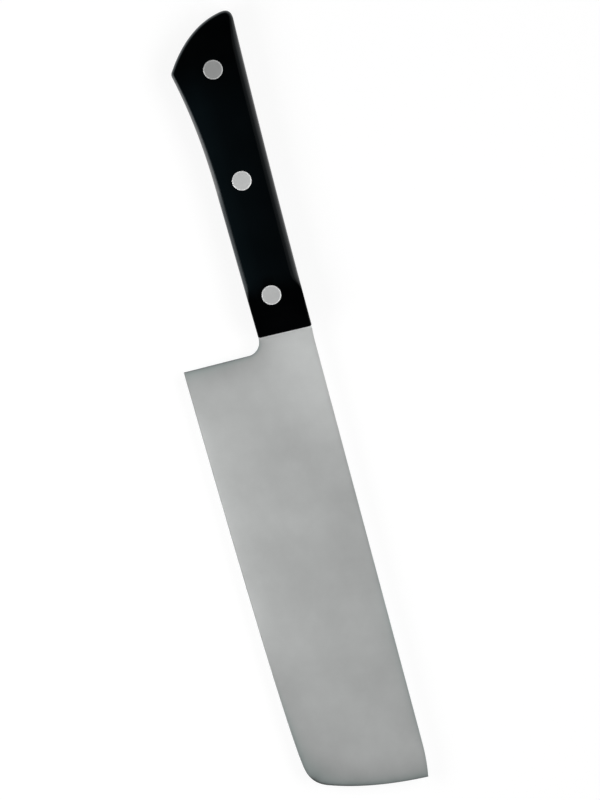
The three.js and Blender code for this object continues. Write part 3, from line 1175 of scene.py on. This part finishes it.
    def draw(self) -> Skin:
        """Draws the blank: two faces that mirror each other, joined round their border.

        Returns:
            The drawn piece.
        """
        blade, tang = self.patches()
        flat_blade, flat_tang = blade.reshape(-1, 2), tang.reshape(-1, 2)
        heights = self.eased(flat_blade, self.ground(flat_blade)).reshape(blade.shape[:2])
        heights[-1, :-1] = self.apex_thickness / 2.0
        tang_heights = self.eased(flat_tang, np.full(len(flat_tang), self.half))
        places = np.vstack((flat_blade, flat_tang))
        levels = np.concatenate((heights.ravel(), tang_heights))
        keys = [tuple(key) for key in np.round(places, KEY_DIGITS)]
        first: dict[tuple[float, ...], int] = {}
        numbers = np.array([first.setdefault(key, len(first)) for key in keys])
        kept = np.array([keys.index(key) for key in first])
        skin = Skin()
        painted_light_and_wear = self.painted_light(places[kept])
        right = skin.add_points(np.column_stack((places[kept], levels[kept])), painted_light_and_wear)
        left = skin.add_points(np.column_stack((places[kept], -levels[kept])), painted_light_and_wear)
        sides: dict[tuple[int, int], BladeFinish] = {}
        last_row = blade.shape[0] - 2
        for patch, start in ((blade, 0), (tang, len(flat_blade))):
            rows, columns = patch.shape[:2]
            grid = numbers[start : start + rows * columns].reshape(rows, columns)
            for row in range(rows - 1):
                honed = patch is blade and row == last_row
                finish = BladeFinish.BEVEL if honed else BladeFinish.FACE
                for column in range(columns - 1):
                    corners = [grid[row, column], grid[row + 1, column]]
                    corners += [grid[row + 1, column + 1], grid[row, column + 1]]
                    if patch is tang:
                        corners.reverse()
                    skin.add_face([right[corner] for corner in corners], finish.value)
                    skin.add_face([left[corner] for corner in reversed(corners)], finish.value)
                    for one, other in zip(corners, corners[1:] + corners[:1]):
                        sides[(one, other)] = finish
        for (one, other), finish in sides.items():
            if (other, one) not in sides:
                border = BladeFinish.EDGE if finish is BladeFinish.FACE else finish
                skin.add_face((right[one], left[one], left[other], right[other]), border.value)
        return skin

    def build(self, seat: Seat, holes: Sequence[np.ndarray], hole_radius: float) -> bpy.types.Object:
        """Builds and dresses the blade.

        Args:
            seat: Where the drawing's origin lies.
            holes: Centres of the tang's holes.
            hole_radius: Their radius.

        Returns:
            The finished piece.
        """
        finishes = [finish.material() for finish in (self.faces, self.edges, self.bevel)]
        piece = self.draw().piece("satin_blade", finishes, seat)
        reach = self.spine_thickness
        drill = [(0.0, -reach), (hole_radius, -reach), (hole_radius, reach), (0.0, reach)]
        bore = [finishes[BladeFinish.EDGE.value]]
        cutters = [turned(drill, hole, self.hole_steps).piece("drill", bore, seat) for hole in holes]
        cut_away(piece, cutters)
        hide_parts("blade")
        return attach(piece, BODY)


class Side(Enum):
    """Side of the blade on which a scale lies, as seen from the handle."""

    RIGHT = 1
    LEFT = -1

    @property
    def word(self) -> str:
        """The side's name in small letters."""
        return self.name.lower()


@dataclass
class Rivets:
    """Three two-part rivets. Each has a tube with a head on the left and a pin with one on the right."""

    outline: HandleOutline
    outer_face: float
    head_diameter: float = 7.2
    head_depth: float = 2.5
    head_recess: float = 0.05
    tube_diameter: float = 4.8
    pin_diameter: float = 3.0
    clearance: float = 0.1
    end_gap: float = 0.4
    rim_round: float = 0.16
    rim_band: float = 0.35
    rim_steps: int = 5
    # Painted highlight round the rim of each head
    rim_highlight: float = 1.2
    foot_chamfer: float = 0.3
    front_distance: float = 14.6
    front_depth: float = 11.05
    rear_setback: float = 20.5
    rear_depth: float = 10.4
    middle_offset: float = 0.6
    turn_steps: int = 80
    # Painted light on the middle rivet and a little on the front one, painted shade on the rear one
    painted_light_and_wear: dict[str, float] = field(default_factory=lambda: {"front": 0.15, "middle": 0.55, "rear": -0.8})
    finish: PolishedSteel = PolishedSteel(
        "sanded_rivet_steel",
        (0.62, 0.628, 0.624),
        roughness=0.52,
        grain=Grain.LENGTHWISE,
        pitch=0.12,
        line=5.0,
        clouding=0.1,
        cloud=4.0,
        painted_light=0.35,
    )

    def places(self) -> dict[str, np.ndarray]:
        """Sets the outer two from the handle's ends and the middle one from those two.

        Returns:
            The centre of each rivet by its name.
        """
        front = spot(-self.front_distance, -self.front_depth)
        rear = spot(self.rear_setback - self.outline.length, -self.rear_depth)
        middle = (front + rear) / 2.0 - spot(self.middle_offset, 0.0)
        return {"front": front, "middle": middle, "rear": rear}

    @property
    def head_radius(self) -> float:
        """Radius of a head."""
        return self.head_diameter / 2.0

    @property
    def hole_radius(self) -> float:
        """Radius of the hole that the tube passes."""
        return self.tube_diameter / 2.0 + self.clearance

    @property
    def face(self) -> float:
        """Level of a head's outer face."""
        return self.outer_face - self.head_recess

    @property
    def seat_level(self) -> float:
        """Level on which a head seats."""
        return self.face - self.head_depth

    def head(self) -> list[tuple[float, float]]:
        """Draws a head's profile from its seat, round its rim to the middle of its face.

        Returns:
            Radius and height pairs.
        """
        turn = np.linspace(0.0, QUARTER_TURN, self.rim_steps + 1)
        inner = self.head_radius - self.rim_round
        rim = [
            (inner + self.rim_round * math.cos(a), self.face - self.rim_round * (1.0 - math.sin(a)))
            for a in turn
        ]
        ring = self.head_radius - self.rim_band
        flat = [(radius, self.face) for radius in (ring, ring - self.rim_round, ring / 2.0, 0.0)]
        return [(self.head_radius, self.seat_level), *rim, *flat]

    def marks(self, profile: Sequence[tuple[float, float]], painted_light_and_wear: float) -> list[float]:
        """Gives each point of a profile its mark: the rivet's painted light or shade, with a painted
        highlight round the rim of the head.
        """
        inner = self.head_radius - self.rim_band - self.rim_round / 2.0
        return [painted_light_and_wear + self.rim_highlight * (radius > inner) for radius, _ in profile]

    def pin(self) -> list[tuple[float, float]]:
        """Draws the pin's profile from its foot up to its head.

        Returns:
            Radius and height pairs.
        """
        radius, foot = self.pin_diameter / 2.0, self.end_gap - self.seat_level
        shank = [(0.0, foot), (radius - self.foot_chamfer, foot), (radius, foot + self.foot_chamfer)]
        return [*shank, (radius, self.seat_level), *self.head()]

    def tube(self) -> list[tuple[float, float]]:
        """Draws the tube's profile from its mouth down to its head, turned over.

        Returns:
            Radius and height pairs.
        """
        radius, bore = self.tube_diameter / 2.0, self.pin_diameter / 2.0 + self.clearance
        mouth = self.end_gap - self.seat_level
        shank = [(0.0, self.seat_level), (bore, self.seat_level), (bore, mouth), (radius, mouth)]
        return [*shank, (radius, self.seat_level), *self.head()]

    def build(self, seat: Seat) -> list[bpy.types.Object]:
        """Builds and dresses the six halves.

        Args:
            seat: Where the drawing's origin lies.

        Returns:
            The finished pieces.
        """
        finish = self.finish.material()
        tube = [(radius, -level) for radius, level in self.tube()]
        made: list[bpy.types.Object] = []
        for name, place in self.places().items():
            for part, profile in (("tube", tube), ("pin", self.pin())):
                marks = self.marks(profile, self.painted_light_and_wear[name])
                skin = turned(profile, place, self.turn_steps, marks)
                piece = skin.piece(f"{name}_turned_{part}", [finish], seat)
                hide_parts(f"{name}_rivet_{part}")
                made.append(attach(piece, BODY))
        return made


@dataclass
class Scale:
    """One handle scale: flat against the tang, rounded along its outer edges, sloped at its front."""

    side: Side
    outline: HandleOutline
    rivets: Rivets
    inner_face: float
    thickness: float = 6.5
    spine_round: float = 2.75
    spine_taper_start: float = 104.0
    crease_angle: float = 28.0
    belly_round: float = 1.4
    flare_round: float = 1.6
    butt_round: float = 1.0
    front_round: float = 0.3
    # Marks on the rounded edges: sanding, rougher and scored, with a paler painted highlight that is
    # strongest on the beak and belly
    spine_sanding_and_sheen: float = 0.06
    # Painted sheen on the outer face, paler and bluer in the middle and towards the belly
    face_depths: tuple[float, ...] = (-19.0, -13.0, -3.0)
    face_sheen: tuple[float, ...] = (0.070, 0.036, 0.020)
    face_sheen_start: float = 107.0
    face_sheen_full: float = 84.0
    face_sheen_fade: float = 21.0
    face_sheen_end: float = 15.0
    beak_sanding_and_sheen: float = 0.85
    belly_sanding_and_sheen: float = 1.0
    belly_front_sanding_and_sheen: float = 0.35
    belly_sheen_fade: float = 60.0
    belly_sheen_end: float = 48.0
    butt_sanding_and_sheen: float = 0.5
    wall_sheen_share: float = 0.1
    edge_sheen_start: float = 0.35
    edge_sheen_fade: float = 0.66
    round_fade_start: float = 20.0
    round_fade_end: float = 13.5
    parting_chamfer: float = 0.12
    ramp_length: float = 9.0
    ramp_drop: float = 2.6
    ramp_soften: float = 1.0
    round_steps: int = 12
    support: float = 0.12
    bore_chamfer: float = 0.06
    ring_steps: int = 80
    cap_pitch: float = 4.0
    ramp_pitch: float = 0.5
    front_steps: int = 26

    def loop(self) -> tuple[np.ndarray, np.ndarray, np.ndarray]:
        """Draws the closed outline.

        Returns:
            Its points, the width of the round-over at each, and its mark there: sanding with painted sheen.
        """
        top_corner, low_corner = self.outline.front_corners()
        soft = self.outline.front_round
        lines = self.outline.stretches(top_corner - spot(soft, 0.0), low_corner - spot(soft, 0.0))
        low_turn = towards(low_corner, top_corner, soft)
        top_turn = towards(top_corner, low_corner, soft)
        steps = self.outline.corner_steps // 2
        front = chain(
            bend(lines[-1][-1], low_corner, low_turn, steps),
            straight(low_turn, top_turn, self.front_steps),
            bend(top_turn, top_corner, lines[0][0], steps),
        )
        spine, butt, belly, flare = self.spine_round, self.butt_round, self.belly_round, self.flare_round
        # Sanding with painted sheen along each stretch of the outline
        butt_mark, spine_mark, beak, belly_mark = self.butt_sanding_and_sheen, self.spine_sanding_and_sheen, self.beak_sanding_and_sheen, self.belly_sanding_and_sheen
        ends = [
            ((spine, spine), (spine_mark, spine_mark)),
            ((butt, butt), (spine_mark, butt_mark)),
            ((butt, butt), (butt_mark, butt_mark)),
            ((butt, butt), (butt_mark, beak)),
            ((butt, flare), (beak, belly_mark)),
            ((flare, belly), (belly_mark, belly_mark)),
            ((self.front_round, self.front_round), (0.0, 0.0)),
        ]
        points, widths, edge_marks = [], [], []
        for line, (width, painted_light_and_wear) in zip([*lines, front], ends):
            points.append(line[:-1])
            widths.append(np.linspace(*width, len(line))[:-1])
            edge_marks.append(np.linspace(*painted_light_and_wear, len(line))[:-1])
        run = run_lengths(np.vstack((points[0], points[1])))
        taper_start = np.interp(self.spine_taper_start, -points[0][:, 0], run[: len(points[0])])
        tapered = spine + (butt - spine) * soft_step(run, taper_start, run[-1])
        widths[0], widths[1] = np.split(tapered, [len(points[0])])
        last = len(lines) - 1
        # The belly edge's sanding and painted sheen fall off towards the front
        ease = soft_step(points[last][:, 0], -self.belly_sheen_fade, -self.belly_sheen_end)
        edge_marks[last] = belly_mark + (self.belly_front_sanding_and_sheen - belly_mark) * ease
        places, round_over = np.vstack(points), np.concatenate(widths)
        # Near the front the round-over narrows and the sanding and painted sheen fade out, which leaves the
        # front darker
        fade = soft_step(places[:, 0], -self.round_fade_start, -self.round_fade_end)
        round_over = round_over + (self.front_round - round_over) * fade
        return places, round_over, np.concatenate(edge_marks) * (1.0 - fade)

    @staticmethod
    def inward(loop: np.ndarray) -> np.ndarray:
        """Gives the direction into a counter-clockwise loop.

        Args:
            loop: The loop's points.

        Returns:
            The direction at each of them.
        """
        step = np.roll(loop, -1, axis=0) - loop
        step = step / np.linalg.norm(step, axis=1)[:, None]
        way = step + np.roll(step, 1, axis=0)
        way = way / np.linalg.norm(way, axis=1)[:, None]
        return np.column_stack((-way[:, 1], way[:, 0]))

    def painted_face_sheen(self, places: np.ndarray) -> np.ndarray:
        """Works out the painted sheen on the outer face, lighter over the middle, most of all by the belly.

        Args:
            places: Points on the face.

        Returns:
            The painted-sheen mark at each.
        """
        x, y = places.T
        behind = soft_step(x, -self.face_sheen_start, -self.face_sheen_full)
        along = behind - soft_step(x, -self.face_sheen_fade, -self.face_sheen_end)
        return along * np.interp(y, self.face_depths, self.face_sheen)

    def slope(self, x: np.ndarray) -> np.ndarray:
        """Works out how far the outer face falls towards the front, with a soft start.

        Args:
            x: Places along the handle.

        Returns:
            The fall at each.
        """
        past, soft = x + self.ramp_length, self.ramp_soften
        start = np.clip(past + soft, 0.0, 2.0 * soft) ** 2 / (4.0 * soft)
        return (start + np.maximum(past - soft, 0.0)) * self.ramp_drop / self.ramp_length

    def fill(self, skin: Skin, border: np.ndarray, holes: Sequence[np.ndarray], inner: np.ndarray) -> None:
        """Fills a level face that has round holes.

        Args:
            skin: The piece that is drawn.
            border: Point numbers of the outer ring.
            holes: Point numbers of each hole's ring.
            inner: Point numbers of loose points on the face.
        """
        numbers = np.concatenate((border, *holes, inner)).astype(int)
        flat = np.array([skin.points[number][:2] for number in numbers])
        edges, start = [], 0
        for ring in (border, *holes):
            count = len(ring)
            edges += [(start + i, start + (i + 1) % count) for i in range(count)]
            start += count
        spots = [Vector(place) for place in flat]
        result = delaunay_2d_cdt(spots, edges, [], WHOLE_HULL, MERGE_DISTANCE)
        met, _, faces, sources, _, _ = result
        middle = np.array([np.mean([met[corner] for corner in face], axis=0) for face in faces])
        wanted = inside(middle, flat[: len(border)])
        start = len(border)
        for ring in holes:
            wanted &= ~inside(middle, flat[start : start + len(ring)])
            start += len(ring)
        for face, keep in zip(faces, wanted):
            if keep:
                skin.add_face([numbers[sources[corner][0]] for corner in face])

    def loose_points(self, border: np.ndarray, centres: Sequence[np.ndarray]) -> np.ndarray:
        """Scatters points over the outer face, closer together on the slope.

        Args:
            border: The face's outer ring.
            centres: Rivet centres.

        Returns:
            Points of the drawing.
        """
        low, high = border.min(axis=0), border.max(axis=0)
        slope_start = -self.ramp_length - 2.0 * self.ramp_soften
        flat = np.arange(low[0], slope_start, self.cap_pitch)
        x = np.concatenate((flat, np.arange(slope_start, high[0], self.ramp_pitch)))
        y = np.arange(low[1], high[1], self.cap_pitch / 2.0)
        places = np.array([(a, b) for a in x for b in y])
        ring = np.vstack((border, border[:1]))
        clear = inside(places, border) & (distance_to(places, ring) > self.ramp_pitch / 2.0)
        keep_off = self.rivets.head_radius + self.rivets.clearance + self.ramp_pitch
        for centre in centres:
            clear &= np.linalg.norm(places - centre, axis=1) > keep_off
        return places[clear]

    def draw(self) -> Skin:
        """Draws the scale as it lies on the right side.

        Returns:
            The drawn piece.
        """
        skin = Skin()
        loop, widths, painted_light_and_wear = self.loop()
        way = self.inward(loop)
        outer = self.inner_face + self.thickness

        def ring(inset: np.ndarray, level: np.ndarray, share: float = 0.0) -> np.ndarray:
            """Adds one ring of the outline.

            Args:
                inset: How far it is moved in.
                level: Its height.
                share: How far over the round-over it lies, from 0 to 1.

            Returns:
                Its point numbers.
            """
            places = loop + way * np.broadcast_to(inset, len(loop))[:, None]
            # The mark climbs from a little on the side wall to full over the round-over, then gives way to
            # the face's painted sheen
            rise = soft_step(share, 0.0, self.edge_sheen_start)
            marks = painted_light_and_wear * (self.wall_sheen_share + (1.0 - self.wall_sheen_share) * rise)
            marks = marks + (self.painted_face_sheen(places) - marks) * soft_step(share, self.edge_sheen_fade, 1.0)
            return skin.add_points(np.column_stack((places, np.broadcast_to(level, len(loop)))), marks)

        parting = ring(self.parting_chamfer, self.inner_face)
        rings = [parting, ring(0.0, self.inner_face + self.parting_chamfer)]
        crease = math.radians(self.crease_angle)
        radius = widths / (1.0 - math.sin(crease))
        for share in np.linspace(0.0, 1.0, self.round_steps + 1):
            tilt = crease + (QUARTER_TURN - crease) * (1.0 - share)
            inset = radius * (1.0 - math.sin(tilt))
            fall = self.slope(loop[:, 0] + way[:, 0] * inset)
            level = outer - fall - radius * (math.cos(crease) - math.cos(tilt))
            rings.append(ring(inset, level, share))
        inner_way = loop + way * (widths + self.support)[:, None]
        face_level = outer - self.slope(inner_way[:, 0])
        rings.append(skin.add_points(np.column_stack((inner_way, face_level)), self.painted_face_sheen(inner_way)))
        skin.bands(rings)
        centres = list(self.rivets.places().values())
        mouth, chamfer = self.rivets.head_radius + self.rivets.clearance, self.bore_chamfer
        counterbore = [
            (mouth + chamfer, outer),
            (mouth, outer - chamfer),
            (mouth, self.rivets.seat_level),
            (self.rivets.hole_radius, self.rivets.seat_level),
            (self.rivets.hole_radius, self.inner_face),
        ]
        mouths, bores = [], []
        for centre in centres:
            painted_face_sheen = self.painted_face_sheen(centre[None, :])
            rims = [skin.add_points(circle(centre, *pair, self.ring_steps), painted_face_sheen) for pair in counterbore]
            skin.bands(rims)
            mouths.append(rims[0])
            bores.append(rims[-1])
        loose = self.loose_points(inner_way, centres)
        inner = skin.add_points(np.column_stack((loose, outer - self.slope(loose[:, 0]))), self.painted_face_sheen(loose))
        self.fill(skin, rings[-1], mouths, inner)
        self.fill(skin, parting, bores, np.array([], int))
        return skin

    def build(self, seat: Seat, finish: bpy.types.Material) -> bpy.types.Object:
        """Builds and dresses the scale.

        Args:
            seat: Where the drawing's origin lies.
            finish: Its material.

        Returns:
            The finished piece.
        """
        skin = self.draw()
        skin.points = [(x, y, z * self.side.value) for x, y, z in skin.points]
        piece = skin.piece(f"{self.side.word}_black_scale", [finish], seat)
        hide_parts(f"{self.side.word}_scale")
        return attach(piece, BODY)


# Studio


@dataclass(frozen=True)
class SoftPanel:
    """A soft rectangular light that the camera doesn't see. Places are metres."""

    name: str
    place: tuple[float, float, float]
    aim: tuple[float, float, float]
    width: float
    height: float
    watts: float

    def build(self) -> bpy.types.Object:
        """Adds the light.

        Returns:
            The light's object.
        """
        lamp = bpy.data.lights.new(self.name, "AREA")
        lamp.shape = "RECTANGLE"
        lamp.size = self.width
        lamp.size_y = self.height
        lamp.energy = self.watts
        made = bpy.data.objects.new(self.name, lamp)
        made.location = self.place
        made.rotation_euler = (Vector(self.aim) - Vector(self.place)).to_track_quat("-Z", "Y").to_euler()
        made.visible_camera = False
        bpy.context.scene.collection.objects.link(made)
        return made


@dataclass
class Studio:
    """Pale floor, soft light and a camera straight above the knife.

    Places are metres. The gap between knife and floor and the camera's lens and sensor are millimetres.
    """

    floor_radius: float = 8.0
    floor_rings: tuple[float, ...] = (0.05, 0.3, 1.0)
    floor_steps: int = 96
    floor_gap: float = 0.05
    backdrop: Colour = (1.0, 1.0, 1.0)
    horizon: Colour = (0.36, 0.36, 0.36)
    zenith: Colour = (0.012, 0.012, 0.012)
    backdrop_height: float = 0.02
    wall_height: float = 0.05
    horizon_height: float = 0.38
    zenith_height: float = 0.58
    view_centre: tuple[float, float] = (-0.00028, 0.0130)
    view_height: float = 0.2921
    view_turn: float = 75.03
    lens: float = 600.0
    sensor: float = 36.0
    panels: tuple[SoftPanel, ...] = (
        SoftPanel(
            "near_belly_panel", (-0.02, -0.26, 0.30), (-0.01, 0.0, 0.0), width=0.36, height=0.20, watts=0.75
        ),
        SoftPanel(
            "low_belly_panel", (-0.02, -0.98, 0.20), (-0.02, 0.0, 0.0), width=0.90, height=0.30, watts=1.1
        ),
        SoftPanel(
            "high_spine_panel", (0.10, 0.55, 0.86), (-0.02, 0.0, 0.0), width=1.00, height=0.55, watts=5.68
        ),
    )

    def floor(self) -> bpy.types.Object:
        """Lays the floor.

        Returns:
            The floor.
        """
        skin = Skin()
        centre = spot(0.0, 0.0)
        rings = [
            skin.add_points(circle(centre, self.floor_radius * share * PER_METRE, 0.0, self.floor_steps))
            for share in self.floor_rings
        ]
        skin.bands(rings)
        skin.add_face(rings[0])
        made = skin.piece("pale_floor", [PaleFloor().material()], Seat(0.0, 0.0, -self.floor_gap * MM))
        if made.data.polygons[0].normal.z < 0.0:
            made.data.flip_normals()
        return made

    def world(self) -> None:
        """Surrounds the scene with a white backdrop low down, dim walls and a dark ceiling."""
        scene_world = bpy.data.worlds.new("studio")
        scene_world.use_nodes = True
        graph = Graph(scene_world.node_tree)
        way = graph.node("ShaderNodeTexCoord").outputs["Generated"]
        height = graph.signal(graph.node("ShaderNodeSeparateXYZ", None, {0: way}), "Z")
        wall = graph.tint(self.backdrop, self.horizon, height.eased(self.backdrop_height, self.wall_height))
        colour = graph.tint(wall, self.zenith, height.eased(self.horizon_height, self.zenith_height))
        sky = graph.node("ShaderNodeBackground", None, {"Color": colour, "Strength": 1.0})
        graph.node("ShaderNodeOutputWorld", None, {"Surface": sky.outputs[0]})
        bpy.context.scene.world = scene_world

    def camera(self, level: float) -> bpy.types.Object:
        """Hangs the camera over the knife.

        Args:
            level: Height of the plane whose size the view height gives.

        Returns:
            The camera.
        """
        data = bpy.data.cameras.new("camera")
        data.lens = self.lens
        data.sensor_width = self.sensor
        made = bpy.data.objects.new("camera", data)
        distance = self.lens * self.view_height / self.sensor
        made.location = (*self.view_centre, level + distance)
        made.rotation_euler = (0.0, 0.0, math.radians(self.view_turn))
        bpy.context.scene.collection.objects.link(made)
        bpy.context.scene.camera = made
        return made

    def build(self, level: float) -> None:
        """Builds the studio.

        Args:
            level: Height of the blade's middle plane.
        """
        bpy.context.scene.view_settings.view_transform = "Standard"
        self.world()
        self.floor()
        self.camera(level)
        for panel in self.panels:
            panel.build()


def report(piece: bpy.types.Object) -> None:
    """Logs a piece's name and the count of its faces."""
    LOG.info("%s: %d faces", piece.name, len(piece.data.polygons))


def corners(box: tuple[Vector, Vector]) -> list[list[float]]:
    """Gives a box's two corners as plain lists of numbers."""
    return [[float(part) for part in corner] for corner in box]


def main() -> None:
    """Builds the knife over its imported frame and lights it."""
    logging.basicConfig(level=logging.INFO, format="%(name)s: %(message)s")
    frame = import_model()
    LOG.info("frame with %d nodes", len(frame["nodes"]))
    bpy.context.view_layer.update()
    outline = HandleOutline()
    blade = Blade(outline)
    low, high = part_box("blade")
    middle = (low.z + high.z) / 2.0
    seat = Seat(high.x - blade.length * MM, low.y + blade.heel_height * MM, middle)
    outer_face = blade.half + Scale.thickness
    rivets = Rivets(outline, outer_face)
    report(blade.build(seat, list(rivets.places().values()), rivets.hole_radius))
    plastic = MouldedPlastic().material()
    for side in Side:
        report(Scale(side, outline, rivets, blade.half).build(seat, plastic))
    for piece in rivets.build(seat):
        report(piece)
    Studio().build(middle)


if __name__ == "__main__":
    main()
